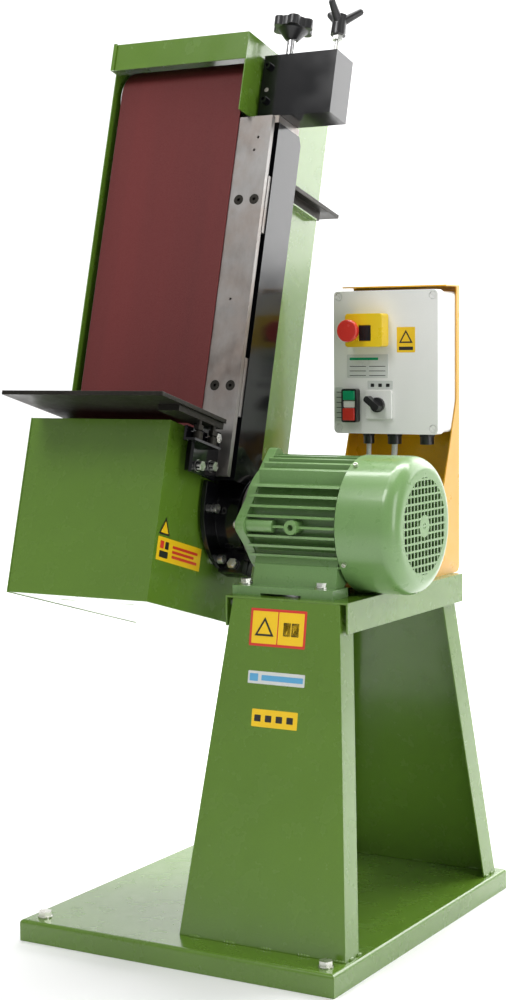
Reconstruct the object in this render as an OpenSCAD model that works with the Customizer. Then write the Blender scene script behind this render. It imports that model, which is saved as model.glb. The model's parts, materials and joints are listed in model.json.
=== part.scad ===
// Floor-standing belt grinder: a 250 mm wide abrasive belt runs over a motor-driven
// contact wheel and an idler, on an arm that swings about the motor axis.
// Millimetres, +Z up, the operator stands at -Y. The origin is on the floor,
// under the middle of the whole machine.

/* [Base] */
// Width of the floor plate, side to side
base_w = 588; // [560:1:640]
// Depth of the floor plate, front to back
base_d = 666; // [640:1:720]
// Height of the folded edge of the floor plate
base_h = 36; // [25:1:50]
// Sheet thickness of the floor plate and pedestal
sheet_t = 3; // [2:0.5:4]
// Height of the pedestal's top face above the floor
ped_h = 578; // [560:1:620]

/* [Belt] */
// Width of the abrasive belt
belt_w = 250; // [150:1:260]
// Thickness of the abrasive belt
belt_t = 2; // [1:0.5:3]
// Outer radius of the belt on the contact wheel
wheel_r = 110; // [90:1:115]
// Outer radius of the belt on the idler
idler_r = 60; // [50:1:70]
// Distance from the wheel axis to the idler axis, along the arm
idler_w = 730; // [700:1:760]

/* [Arm] */
// Backward lean of the arm from the vertical, in degrees
tilt = 15; // [0:1:20]
// Height of the motor axis above the pedestal top
shaft_h = 112; // [112:1:120]
// Depth of the square beam, front to back
beam_d = 80; // [60:1:90]
// Thickness of the flat platen behind the belt
platen_t = 10; // [6:1:12]

/* [Motor] */
// Radius of the motor's fan cowl
cowl_r = 112; // [105:1:115]
// Radius of the drive shaft
shaft_r = 19; // [14:1:22]
// Distance between the foot bolts along the shaft
foot_b = 140; // [130:1:150]
// Distance between the foot bolts across the shaft
foot_a = 190; // [180:1:200]

/* [Controls] */
// Width of the switch enclosure
box_w = 202; // [190:1:220]
// Height of the switch enclosure
box_h = 250; // [240:1:260]
// Depth of the switch enclosure
box_d = 87; // [80:1:100]

/* [Hidden] */
$fn = 64;
EPS = 0.01;

// Motor axis, from the middle of the floor plate
axis_y = -50;
axis_z = ped_h + shaft_h;

// Side-to-side places, left (-) to right (+)
belt_x0 = -315;
belt_x1 = belt_x0 + belt_w;
door_x = -329;
guard_x0 = -327;
guard_x1 = -52;
plate_x0 = -46;
plate_x1 = -38;
beam_x1 = 2;
shield_x = 20;
frame_x0 = 46;
frame_x1 = 206;
cowl_x1 = 312;

// Belt geometry in the arm's own plane: v runs to the rear, w runs up the arm
idler_v = idler_r - wheel_r;

// Guard sheet metal
guard_t = 2;
guard_v = 174;
box_v = -218;
box_w0 = -175;
box_w1 = 120;
cap_v = -134;
cap_w = 815;
cap_lip = 48;

// Platen, beam and head
platen_v = -(wheel_r - belt_t) + 0.5;
platen_w0 = 52;
platen_w1 = 672;
beam_v0 = -88;
beam_v1 = beam_v0 + beam_d;
beam_w1 = 666;
head_w0 = 681;
head_w1 = 792;
head_v0 = -80;
head_v1 = -20;
head_x0 = -48;
head_x1 = 92;
head_t = 5;
knob_rise = 38;
tilt_x = -37;
tension_x = -18;
tension_v = beam_v0 + beam_d / 2;
track_x = 73;
clamp_r = 50;
ring_r = 68;
running = 0.05;

// Control box
panel_x0 = 24;
panel_z1 = 1074;
panel_y = 188;
back_y = panel_y + box_d;
bracket_x0 = 23.9;
bracket_x1 = 226.1;

// Screws between the arm's side plate and the guard, around the motor axis
plate_fix = [[-78, 2], [-39, -77], [39, -77], [78, 2]];

green = [0.42, 0.58, 0.30];
motor_green = [0.47, 0.63, 0.41];
amber = [0.87, 0.60, 0.02];
zinc = [0.75, 0.76, 0.74];
steel = [0.58, 0.58, 0.55];
black = [0.05, 0.05, 0.06];
dark = [0.16, 0.15, 0.14];
grey = [0.84, 0.85, 0.82];

// ---------- placing and shape helpers ----------

// Moves geometry drawn from the middle of the floor plate into the machine's frame
module place() {
    translate([-(hinge_x - hinge_r + cowl_x1) / 2, 0, 0]) children();
}

// Arm frame: X to the right, Y to the rear (v), Z up the arm (w), origin on the motor axis
module arm() {
    place() translate([0, axis_y, axis_z]) rotate([-tilt, 0, 0]) children();
}

// Extrudes a (Y, Z) outline from x0 to x1
module along_x(x0, x1) {
    translate([x0, 0, 0]) rotate([90, 0, 90]) linear_extrude(x1 - x0) children();
}

// Extrudes an (X, Z) outline from y0 to y1
module along_y(y0, y1) {
    translate([0, y1, 0]) rotate([90, 0, 0]) linear_extrude(y1 - y0) children();
}

// Box between two corners
module block(a, b) {
    translate(a) cube(b - a);
}

// Cylinders along X, Y and Z, between two places on that axis
module rod_x(x0, x1, y, z, r, sides = 64) {
    translate([x0, y, z]) rotate([0, 90, 0]) cylinder(h = x1 - x0, r = r, $fn = sides);
}

module rod_y(y0, y1, x, z, r, sides = 64) {
    translate([x, y1, z]) rotate([90, 0, 0]) cylinder(h = y1 - y0, r = r, $fn = sides);
}

module rod_z(z0, z1, x, y, r, sides = 64) {
    translate([x, y, z0]) cylinder(h = z1 - z0, r = r, $fn = sides);
}

// Tube along X
module tube_x(x0, x1, y, z, r_out, r_in) {
    difference() {
        rod_x(x0, x1, y, z, r_out);
        rod_x(x0 - 1, x1 + 1, y, z, r_in);
    }
}

// Flat rounded rectangle between two corners
module rounded(a, b, r) {
    translate([a[0] + r, a[1]]) square([b[0] - a[0] - 2 * r, b[1] - a[1]]);
    translate([a[0], a[1] + r]) square([b[0] - a[0], b[1] - a[1] - 2 * r]);
    for (x = [a[0] + r, b[0] - r], y = [a[1] + r, b[1] - r])
        translate([x, y]) circle(r);
}

// Flat rectangle w by h, standing on the origin line, with its two top corners rounded
module round_top(w, h, r) {
    translate([-w / 2, 0]) square([w, h - r]);
    translate([-w / 2 + r, 0]) square([w - 2 * r, h]);
    for (s = [-1, 1])
        translate([s * (w / 2 - r), h - r]) circle(r);
}

// Hexagon head bolt with a washer; the shank points down from the washer's underside
module hex_bolt(r, head_r, head_h, length, washer_r = 0) {
    washer_t = washer_r > 0 ? 2.5 : 0;
    if (washer_r > 0)
        cylinder(h = washer_t, r = washer_r);
    translate([0, 0, washer_t]) cylinder(h = head_h, r = head_r, $fn = 6);
    translate([0, 0, -length]) cylinder(h = length + washer_t + EPS, r = r);
}

// Socket head screw; the shank points down from the head's underside
module socket_screw(r, length) {
    difference() {
        cylinder(h = 2 * r, r = 1.6 * r);
        translate([0, 0, r]) cylinder(h = r + 1, r = 0.9 * r, $fn = 6);
    }
    translate([0, 0, -length]) cylinder(h = length + EPS, r = r);
}

// ---------- base and pedestal ----------

pan_hole_in = 30;
pan_holes = [
    for (sx = [-1, 1], y = [pan_hole_in - base_d / 2, base_d / 2 - 14])
        [sx * (base_w / 2 - pan_hole_in), y]
];

module pan_solid(inset, top, r) {
    w = base_w - 2 * inset;
    d = base_d - 2 * inset;
    intersection() {
        along_y(-d / 2, d / 2) round_top(w, top, r);
        along_x(-w / 2, w / 2) round_top(d, top, r);
    }
}

// Folded tray that stands on its own edges
module base_pan() {
    color(green) place() difference() {
        pan_solid(0, base_h, 7);
        translate([0, 0, -1]) pan_solid(sheet_t, base_h - sheet_t + 1, 4);
        for (p = pan_holes)
            rod_z(0, base_h + 1, p[0], p[1], 7);
    }
}

// Corner bolts with washers, and nuts under the sheet
module floor_bolts() {
    color(zinc) place()
        for (p = pan_holes)
            translate([p[0], p[1], base_h]) {
                hex_bolt(6, 11.5, 8, 24, 12);
                translate([0, 0, -sheet_t - 10]) cylinder(h = 10, r = 11, $fn = 6);
            }
}

ped_x = 133;
ped_foot_w = 301;
ped_head_w = 194;
panel_flange = 46;
front_y0 = -276;
front_y1 = -187;
rear_y0 = 306;
rear_y1 = 232;
panel_rise = ped_h - sheet_t - base_h;

// Trapezoid, foot on the origin line, drawn past both ends so that it can be cut level
module trapezoid(foot_w, head_w, rise) {
    grow = 0.08;
    lean = (foot_w - head_w) / 2;
    w0 = foot_w + 2 * lean * grow;
    w1 = head_w - 2 * lean * grow;
    polygon([
        [-w0 / 2, -rise * grow], [w0 / 2, -rise * grow],
        [w1 / 2, rise * (1 + grow)], [-w1 / 2, rise * (1 + grow)]
    ]);
}

// Leaning panel with side flanges that fold back from its outer face (Y = 0)
module panel(lean_angle, slope) {
    rotate([-lean_angle, 0, 0]) difference() {
        along_y(0, panel_flange) trapezoid(ped_foot_w, ped_head_w, slope);
        along_y(sheet_t, panel_flange + 1)
            trapezoid(ped_foot_w - 2 * sheet_t, ped_head_w - 2 * sheet_t, slope);
    }
}

// Front and rear panels, cut level with the floor plate and the pedestal top
module pedestal_panels() {
    front_lean = atan2(front_y1 - front_y0, panel_rise);
    rear_lean = atan2(rear_y0 - rear_y1, panel_rise);
    color(green) place() difference() {
        intersection() {
            union() {
                translate([ped_x, front_y0, base_h])
                    panel(front_lean, panel_rise / cos(front_lean));
                translate([ped_x, rear_y0, base_h])
                    mirror([0, 1, 0]) panel(rear_lean, panel_rise / cos(rear_lean));
            }
            block([-300, -400, base_h], [500, 400, ped_h - sheet_t]);
        }
        for (x = foot_x, y = foot_y)
            rod_z(ped_h - 20, ped_h, x, y, 12);
    }
}

top_x0 = 22;
top_x1 = 244;
top_drop = 49;
foot_x = [36, 36 + foot_b];
foot_y = [axis_y - foot_a / 2, axis_y + foot_a / 2];

// Top plate with its sides folded down outside the panels
module pedestal_top() {
    color(green) place() difference() {
        block([top_x0, front_y1, ped_h - top_drop], [top_x1, 252, ped_h]);
        block([top_x0 + sheet_t, front_y1 - 1, 0], [top_x1 - sheet_t, 253, ped_h - sheet_t]);
        for (x = foot_x, y = foot_y)
            rod_z(ped_h - 5, ped_h + 1, x, y, 6);
        for (x = [60, 190])
            rod_z(ped_h - 5, ped_h + 1, x, 232, 4.5);
    }
}

// ---------- control bracket and enclosure ----------

bracket_t = 2.5;
bracket_y1 = back_y + bracket_t;
hood_z = 1080;
taper_y0 = 157;
taper_z1 = 882;
lip = 12;

// Channel that carries the enclosure, with tapering flanges and a hood
module control_bracket() {
    r = 12;
    color(amber) place() difference() {
        union() {
            for (x = [bracket_x0, bracket_x1 - bracket_t])
                along_x(x, x + bracket_t) union() {
                    polygon([
                        [taper_y0, ped_h], [bracket_y1 - r, ped_h], [bracket_y1 - r, hood_z],
                        [bracket_y1 - lip, hood_z], [bracket_y1 - lip, taper_z1]
                    ]);
                    translate([bracket_y1 - r - EPS, ped_h + r])
                        square([r + EPS, hood_z - ped_h - r]);
                    translate([bracket_y1 - r, ped_h + r]) circle(r);
                }
            block([bracket_x0, back_y, ped_h + r], [bracket_x1, bracket_y1, hood_z]);
            block([bracket_x0, 222, hood_z - EPS], [bracket_x1, bracket_y1, hood_z + bracket_t]);
            block([bracket_x0, 205, ped_h], [bracket_x1, 250, ped_h + bracket_t]);
        }
        for (x = [60, 190])
            rod_z(ped_h - 1, ped_h + 5, x, 232, 4.5);
    }
}

panel_x1 = panel_x0 + box_w;
panel_z0 = panel_z1 - box_h;
lid_d = 25;
body_in = 2.5;
wall = 3;
gland_x = [71, 122];
gland_y = 232;
inlet_x = 185;

// Rear half of the moulded enclosure
module enclosure_base() {
    a = [panel_x0 + body_in, panel_z0 + body_in];
    b = [panel_x1 - body_in, panel_z1 - body_in];
    inner = [wall, wall];
    color(grey) place() difference() {
        along_y(panel_y + lid_d, back_y) rounded(a, b, 8);
        along_y(panel_y + lid_d - 1, back_y - wall) rounded(a + inner, b - inner, 5);
        rod_z(panel_z0 - 5, panel_z0 + 10, gland_x[0], gland_y, 8);
        rod_z(panel_z0 - 5, panel_z0 + 10, gland_x[1], gland_y, 10);
        rod_z(panel_z0 - 5, panel_z0 + 10, inlet_x, gland_y, 10);
    }
}

screw_in = 10;
lid_holes = [
    for (x = [panel_x0 + screw_in, panel_x1 - screw_in],
         z = [panel_z0 + screw_in, panel_z1 - screw_in]) [x, z]
];
estop_x = 74;
estop_z = 1004;
start_x = 61;
start_z = 889;
stop_z = 858;
knob_x = 114;
knob_z = 875;

// Front half of the enclosure, which carries the switches
module enclosure_lid() {
    a = [panel_x0, panel_z0];
    b = [panel_x1, panel_z1];
    inner = [wall, wall];
    color(grey) place() difference() {
        along_y(panel_y, panel_y + lid_d) rounded(a, b, 8);
        difference() {
            along_y(panel_y + wall, panel_y + lid_d + 1) rounded(a + inner, b - inner, 5);
            for (p = lid_holes)
                rod_y(panel_y, panel_y + lid_d + 2, p[0], p[1], 9);
        }
        for (p = lid_holes) {
            rod_y(panel_y - 1, panel_y + 5, p[0], p[1], 7);
            rod_y(panel_y - 1, panel_y + lid_d + 2, p[0], p[1], 3);
        }
        rod_y(panel_y - 1, panel_y + 5, estop_x, estop_z, 11);
        rod_y(panel_y - 1, panel_y + 5, start_x, (start_z + stop_z) / 2, 11);
        rod_y(panel_y - 1, panel_y + 5, knob_x, knob_z, 11);
    }
}

module lid_screws() {
    color(grey) place()
        for (p = lid_holes)
            difference() {
                union() {
                    rod_y(panel_y + 0.5, panel_y + 5, p[0], p[1], 6.4);
                    rod_y(panel_y + 4, panel_y + lid_d + 12, p[0], p[1], 2.5);
                }
                translate([p[0], panel_y, p[1]]) rotate([0, 40, 0])
                    block([-7, -1, -0.9], [7, 2, 0.9]);
            }
}

estop_y = panel_y - 26;

// Block of the no-volt switch, with the well that the stop mushroom slides in
module estop_housing() {
    color([0.93, 0.78, 0.05]) place() difference() {
        along_y(estop_y, panel_y) rounded([60, 976], [132, 1034], 5);
        rod_y(estop_y - 1, panel_y - 4, estop_x, estop_z, 8);
        along_y(estop_y - 1, estop_y + 4) rounded([86, 986], [110, 1014], 2);
    }
}

module estop_button() {
    color([0.80, 0.18, 0.17]) place() {
        rod_y(estop_y - 22, estop_y - 10, estop_x, estop_z, 19.5);
        rod_y(estop_y - 11, estop_y + 10, estop_x, estop_z, 7.9);
    }
}

button_y = panel_y - 15;

// Bezel of the twin push button, with its contact block behind the lid
module button_frame() {
    color(black) place() difference() {
        union() {
            along_y(button_y, panel_y) rounded([start_x - 15, 844], [start_x + 15, 903], 4);
            rod_y(panel_y - 1, panel_y + 30, start_x, (start_z + stop_z) / 2, 10.5);
        }
        along_y(button_y - 1, panel_y - 4)
            rounded([start_x - 12, 847], [start_x + 12, 900], 2);
    }
}

module start_button() {
    color([0.05, 0.55, 0.38]) place()
        along_y(button_y - 1, panel_y - 9) rounded([start_x - 11.5, 883], [start_x + 11.5, 899.5], 2);
}

module stop_button() {
    color([0.85, 0.15, 0.15]) place()
        along_y(button_y - 2, panel_y - 9) rounded([start_x - 11.5, 847.5], [start_x + 11.5, 869], 2);
}

// Cam switch: front plate, body behind the lid, and the bore its spindle turns in
module selector_switch() {
    color(steel) place() difference() {
        union() {
            along_y(panel_y - 5, panel_y) rounded([knob_x - 25, knob_z - 25], [knob_x + 25, knob_z + 25], 3);
            rod_y(panel_y - 1, panel_y + 6, knob_x, knob_z, 10.5);
            block([knob_x - 20, panel_y + 5, knob_z - 20], [knob_x + 20, panel_y + 50, knob_z + 20]);
        }
        rod_y(panel_y - 6, panel_y + 12, knob_x, knob_z, 4.05);
    }
}

module selector_knob() {
    color(black) place() {
        rod_y(panel_y - 12, panel_y - 5.5, knob_x, knob_z, 13);
        translate([knob_x, 0, knob_z]) rotate([0, 38, 0])
            along_y(panel_y - 27, panel_y - 11) rounded([-21, -5.5], [12, 5.5], 4);
        rod_y(panel_y - 11, panel_y + 10, knob_x, knob_z, 4);
    }
}

// Contactor on its mounting rail, inside the enclosure
module contactor() {
    color(dark) place() {
        block([50, back_y - wall - 8, 948], [200, back_y - wall, 983]);
        block([70, back_y - wall - 42, 930], [116, back_y - wall - 7, 1001]);
        block([124, back_y - wall - 42, 934], [176, back_y - wall - 7, 997]);
    }
}

// Gland: hexagon, dome and the thread that passes through the wall, drawn hanging down
module gland(cable_r, hex_r, thread_r) {
    difference() {
        union() {
            translate([0, 0, -8]) cylinder(h = 8, r = hex_r, $fn = 6);
            translate([0, 0, -22]) cylinder(h = 15, r = hex_r * 0.82);
            translate([0, 0, -1]) cylinder(h = 10, r = thread_r);
        }
        translate([0, 0, -23]) cylinder(h = 33, r = cable_r);
    }
}

// Terminal box on the motor's rear side
terminal_a = [60, axis_y + 110.1, axis_z - 25];
terminal_b = [160, axis_y + 165, axis_z + 50];
terminal_lid_t = 14;
entry_x = [80, 135];
entry_y = terminal_b[1] - 30;

// Outlets of the two motor leads, the supply inlet, and the motor's own two glands
module cable_glands() {
    z = panel_z0 + body_in;
    color(black) place() {
        translate([gland_x[0], gland_y, z]) gland(4.5, 12, 7.8);
        translate([gland_x[1], gland_y, z]) gland(5.5, 15, 9.8);
        translate([inlet_x, gland_y, z]) gland(6, 15, 9.8);
        translate([entry_x[0], entry_y, terminal_b[2]]) mirror([0, 0, 1]) gland(4.5, 12, 7.8);
        translate([entry_x[1], entry_y, terminal_b[2]]) mirror([0, 0, 1]) gland(5.5, 15, 9.8);
    }
}

function lerp(a, b, t) = a + (b - a) * t;

// Smooth curve through hand-chosen points: each span is cut into n steps
function spline_point(p, i, t) =
    let (
        last = len(p) - 1,
        a = p[max(i - 1, 0)],
        b = p[i],
        c = p[min(i + 1, last)],
        d = p[min(i + 2, last)]
    )
    0.5 * ((2 * b) + (c - a) * t + (2 * a - 5 * b + 4 * c - d) * t * t
           + (3 * b - a - 3 * c + d) * t * t * t);

function spline(p, n) = concat(
    [for (i = [0 : len(p) - 2], k = [0 : n - 1]) spline_point(p, i, k / n)],
    [p[len(p) - 1]]
);

function unit(v) = v / norm(v);

// Round tube swept along a path that never runs parallel to X
module swept_tube(path, r, sides) {
    n = len(path);
    points = [
        for (i = [0 : n - 1])
            let (
                along = unit(path[min(i + 1, n - 1)] - path[max(i - 1, 0)]),
                side = unit(cross(along, [1, 0, 0])),
                other = cross(side, along)
            )
            for (k = [0 : sides - 1])
                path[i] + r * (cos(360 * k / sides) * side + sin(360 * k / sides) * other)
    ];
    faces = concat(
        [[for (k = [0 : sides - 1]) sides - 1 - k]],
        [for (i = [0 : n - 2], k = [0 : sides - 1])
            let (a = i * sides + k, b = i * sides + (k + 1) % sides)
            [a, b, b + sides, a + sides]],
        [[for (k = [0 : sides - 1]) (n - 1) * sides + k]]
    );
    polyhedron(points = points, faces = faces, convexity = 6);
}

// Routes of the two leads, from inside the enclosure down to the motor's terminal box
lead_a_route = [
    [71, 232, 834], [71, 232, 800], [71, 230, 780], [71, 222, 755], [72, 200, 738],
    [74, 165, 744], [77, 130, 775], [80, 98, 785], [80, 85, 768], [80, 85, 745], [80, 85, 732]
];
lead_b_route = [
    [122, 232, 834], [122, 232, 800], [121, 230, 778], [119, 224, 745], [119, 205, 722],
    [122, 168, 722], [128, 135, 756], [134, 100, 783], [135, 85, 768], [135, 85, 745], [135, 85, 732]
];

module motor_lead_a() {
    color([0.75, 0.76, 0.75]) place() swept_tube(spline(lead_a_route, 3), 4.3, 10);
}

module motor_lead_b() {
    color([0.75, 0.76, 0.75]) place() swept_tube(spline(lead_b_route, 3), 5.3, 10);
}

// ---------- motor ----------

fin_pitch = 16;
fin_t = 4;
barrel_r = 92;
fin_r = 110;
lift_x = 131;
shield_bolt_r = 104;

// Moves geometry onto the motor axis: X along the shaft, Y and Z measured from it
module on_axis() {
    place() translate([0, axis_y, axis_z]) children();
}

foot_h = 15;
foot_out = 118;
foot_in = 66;

// Finned barrel with its feet
module motor_frame() {
    color(motor_green) on_axis() difference() {
        union() {
            rod_x(frame_x0, frame_x1, 0, 0, barrel_r);
            intersection() {
                rod_x(frame_x0, frame_x1, 0, 0, fin_r);
                union() {
                    for (k = [-4 : 4])
                        block([frame_x0, -fin_r, k * fin_pitch - fin_t / 2],
                              [frame_x1, fin_r, k * fin_pitch + fin_t / 2]);
                    for (k = [-4 : 4])
                        block([frame_x0, k * fin_pitch - fin_t / 2, 0],
                              [frame_x1, k * fin_pitch + fin_t / 2, fin_r]);
                }
            }
            for (s = [-1, 1]) {
                rod_x(frame_x0, s < 0 ? frame_x0 + 48 : terminal_a[0] - 1, s * shield_bolt_r, 0, 10);
                along_x(frame_x0 + 4, frame_x1 - 4) polygon([
                    [s * 36, -80], [s * 84, -40], [s * 98, foot_h - shaft_h], [s * 70, foot_h - shaft_h]
                ]);
                block([24, min(s * foot_in, s * foot_out), -shaft_h],
                      [208, max(s * foot_in, s * foot_out), foot_h - shaft_h]);
            }
            translate([lift_x, -90, 0]) rotate([90, 0, 0]) cylinder(h = 27, r = 11.5);
        }
        rod_x(frame_x0 - 1, frame_x1 + 1, 0, 0, 84);
        for (x = foot_x, s = [-1, 1])
            rod_z(-shaft_h - 1, foot_h - shaft_h + 1, x, s * foot_a / 2, 6);
        translate([lift_x, -106, 0]) rotate([90, 0, 0]) cylinder(h = 12, r = 5);
        for (s = [-1, 1])
            rod_x(frame_x0 - 1, frame_x0 + 30, s * shield_bolt_r, 0, 4);
        block([76, -foot_out - 1, -shaft_h - 1], [150, foot_out + 1, 4 - shaft_h]);
    }
}

// Terminal box: open to the rear, closed by its lid
module terminal_box() {
    a = terminal_a;
    b = terminal_b - [0, terminal_lid_t, 0];
    color(motor_green) place() difference() {
        block(a, b);
        block(a + [4, 4, 4], b + [-4, 1, -4]);
        rod_z(b[2] - 5, b[2] + 1, entry_x[0], entry_y, 8);
        rod_z(b[2] - 5, b[2] + 1, entry_x[1], entry_y, 10);
    }
}

// Lid of the terminal box, with four corner screws
module terminal_lid() {
    a = [terminal_a[0], terminal_a[2]];
    b = [terminal_b[0], terminal_b[2]];
    y1 = terminal_b[1];
    y0 = y1 - terminal_lid_t;
    color(motor_green) place() union() {
        difference() {
            along_y(y0, y1) rounded(a, b, 6);
            along_y(y0 - 1, y1 - 4) rounded(a + [4, 4], b - [4, 4], 3);
        }
        for (x = [a[0] + 8, b[0] - 8], z = [a[1] + 8, b[1] - 8])
            rod_y(y0 + 1, y1 + 3, x, z, 5);
    }
}

// Laminated stator core with the two winding heads
module stator() {
    color([0.55, 0.32, 0.16]) on_axis() {
        tube_x(64, 188, 0, 0, 83.9, 52);
        tube_x(50, 64, 0, 0, 80, 56);
        tube_x(188, 202, 0, 0, 80, 56);
    }
}

// Flat diamond with round corners, the outline of an end shield
module diamond(r_tip, r_corner) {
    k = r_corner * cos(45);
    for (a = [0 : 90 : 270])
        rotate(a) translate([r_tip - r_corner, 0]) circle(r_corner);
    polygon([
        for (a = [0 : 90 : 270], s = [-1, 1])
            let (p = [r_tip - r_corner + k, s * k])
            [p[0] * cos(a) - p[1] * sin(a), p[0] * sin(a) + p[1] * cos(a)]
    ]);
}

bearing_r = 36;

// Drive-end shield: diamond flange, domed front and bearing seat
module end_shield_drive() {
    color(motor_green) on_axis() difference() {
        union() {
            along_x(shield_x + 10, frame_x0) diamond(120, 14);
            rod_x(shield_x + 10, frame_x0, 0, 0, 94);
            translate([shield_x, 0, 0]) rotate([0, 90, 0]) cylinder(h = 10 + EPS, r1 = 74, r2 = 93);
            for (a = [0 : 90 : 180])
                rotate([a, 0, 0]) rod_x(shield_x + 6, shield_x + 11, shield_bolt_r, 0, 9);
        }
        rod_x(shield_x - 1, frame_x0 + 1, 0, 0, bearing_r + 0.02);
        rod_x(shield_x + 18, frame_x0 + 1, 0, 0, 80);
        for (a = [0 : 90 : 180])
            rotate([a, 0, 0]) rod_x(shield_x, frame_x0 + 1, shield_bolt_r, 0, 4);
        block([shield_x - 1, -60, -130], [frame_x0 + 1, 60, 1 - shaft_h]);
    }
}

module end_shield_fan() {
    color(motor_green) on_axis() difference() {
        union() {
            rod_x(frame_x1, frame_x1 + 8, 0, 0, 106);
            rod_x(frame_x1 + 8, frame_x1 + 22, 0, 0, 50);
        }
        rod_x(frame_x1 - 1, frame_x1 + 23, 0, 0, bearing_r + 0.02);
    }
}

grille_r = 82;
cowl_x0 = frame_x1 + 2;
cowl_round = 26;

// Outline of the cowl's round-edged cup, turned about the motor axis
module cowl_profile(grow) {
    r = cowl_r - grow;
    h = cowl_x1 - cowl_x0 - grow;
    k = cowl_round - grow;
    square([r, h - k]);
    square([r - k, h]);
    translate([r - k, h - k]) circle(k);
}

// Fan cowl: a pressed cup whose end is a square mesh of bars
module fan_cowl() {
    mesh = 12.5;
    bar = 3.4;
    t = 2.5;
    color(motor_green) on_axis() union() {
        difference() {
            translate([cowl_x0, 0, 0]) rotate([0, 90, 0]) rotate_extrude() intersection() {
                cowl_profile(0);
                square([cowl_r, cowl_x1]);
            }
            translate([cowl_x0 - EPS, 0, 0]) rotate([0, 90, 0]) rotate_extrude() intersection() {
                cowl_profile(t);
                square([cowl_r, cowl_x1]);
            }
            rod_x(cowl_x1 - 5, cowl_x1 + 1, 0, 0, grille_r - 4);
            for (a = [30 : 90 : 300])
                rotate([a, 0, 0]) translate([cowl_x0 + 10, 0, cowl_r - 5]) cylinder(h = 6, r = 2.45);
        }
        intersection() {
            rod_x(cowl_x1 - 2, cowl_x1, 0, 0, grille_r);
            union()
                for (k = [-6 : 6]) {
                    block([cowl_x1 - 3, k * mesh - bar / 2, -90], [cowl_x1 + 1, k * mesh + bar / 2, 90]);
                    block([cowl_x1 - 3, -90, k * mesh - bar / 2], [cowl_x1 + 1, 90, k * mesh + bar / 2]);
                }
        }
        tube_x(cowl_x1 - 2, cowl_x1, 0, 0, 18, 5);
    }
}

// Foot bolts with nuts, end-shield bolts and cowl screws
module motor_bolts() {
    color(zinc) on_axis() {
        for (x = foot_x, s = [-1, 1])
            translate([x, s * foot_a / 2, foot_h - shaft_h]) {
                hex_bolt(5, 9.4, 6.5, foot_h + 14, 11);
                translate([0, 0, -foot_h - sheet_t - 9]) cylinder(h = 9, r = 9.4, $fn = 6);
            }
        for (s = [-1, 1])
            translate([shield_x + 6, s * shield_bolt_r, 0]) rotate([0, -90, 0]) hex_bolt(3.9, 6.5, 5, 50);
        for (a = [30 : 90 : 300])
            rotate([a, 0, 0]) translate([cowl_x0 + 10, 0, cowl_r]) socket_screw(2.4, 2);
    }
}

module bearing(x0, x1, r_in, r_out) {
    tube_x(x0, x1, 0, 0, r_out, r_in);
}

// Ball bearings of the shaft: two in the motor and one in the pivot spigot
module motor_bearings() {
    color(steel) on_axis() {
        bearing(shield_x + 2, shield_x + 18, shaft_r + running, bearing_r);
        bearing(frame_x1 + 3, frame_x1 + 19, shaft_r + running, bearing_r);
        bearing(plate_x0 + 1, plate_x0 + 19, shaft_r + running, 40);
    }
}

// Turned flange on the end shield: the arm swings on it, the shaft passes through it
module pivot_spigot() {
    color(steel) on_axis() difference() {
        union() {
            rod_x(plate_x0, shield_x - 6, 0, 0, clamp_r - running);
            rod_x(shield_x - 8, shield_x, 0, 0, 73);
        }
        rod_x(plate_x0 - 1, shield_x + 1, 0, 0, 26);
        rod_x(plate_x0 - 1, plate_x0 + 19, 0, 0, 40.02);
    }
}

wheel_x0 = belt_x0 - 1;
wheel_x1 = belt_x1 + 1;

module motor_shaft() {
    color(steel) on_axis() {
        rod_x(wheel_x0 + 8, frame_x1 + 60, 0, 0, shaft_r);
        block([wheel_x0 + 40, -5, shaft_r - 2], [wheel_x1 - 40, 5, shaft_r + 3]);
    }
}

module rotor() {
    color(steel) on_axis() tube_x(62, 190, 0, 0, 51, shaft_r + 0.01);
}

// Radial fan on the shaft's end
module fan() {
    fan_x = frame_x1 + 28;
    color(black) on_axis() difference() {
        union() {
            rod_x(fan_x, fan_x + 4, 0, 0, 88);
            rod_x(fan_x, fan_x + 30, 0, 0, 28);
            for (a = [0 : 45 : 315])
                rotate([a, 0, 0]) block([fan_x, 24, -1.5], [fan_x + 34, 88, 1.5]);
        }
        rod_x(fan_x - 1, fan_x + 40, 0, 0, shaft_r + 0.01);
    }
}

tyre_t = 14;

// Contact wheel: hub, two webs with lightening holes, and rim
module wheel_core() {
    rim = wheel_r - belt_t - tyre_t;
    color([0.72, 0.73, 0.74]) on_axis() difference() {
        union() {
            tube_x(wheel_x0, wheel_x1, 0, 0, rim, rim - 9);
            rod_x(wheel_x0 + 8, wheel_x1 - 10, 0, 0, 36);
            for (x = [wheel_x0 + 30, wheel_x1 - 42])
                rod_x(x, x + 12, 0, 0, rim - 4);
        }
        rod_x(wheel_x0 - 1, wheel_x1 + 1, 0, 0, shaft_r + 0.01);
        block([wheel_x0 - 1, -5.01, 0], [wheel_x1 + 1, 5.01, shaft_r + 3.02]);
        for (a = [0 : 60 : 300])
            rotate([a, 0, 0]) rod_x(wheel_x0 - 1, wheel_x1 + 1, 60, 0, 14);
    }
}

module wheel_tyre() {
    rim = wheel_r - belt_t - tyre_t;
    color(dark) on_axis() tube_x(wheel_x0, wheel_x1, 0, 0, wheel_r - belt_t - running, rim);
}

// End washer and bolt that hold the wheel on the shaft
module wheel_bolt() {
    color(zinc) on_axis() {
        rod_x(wheel_x0 + 2, wheel_x0 + 8, 0, 0, 30);
        translate([wheel_x0 + 2, 0, 0]) rotate([0, -90, 0]) cylinder(h = 9, r = 11, $fn = 6);
    }
}

// ---------- arm ----------

lug_angle = 262;
lug_t = 16;
lug_x = -15;
lug_v = 86;
plate_r = 106;

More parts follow.
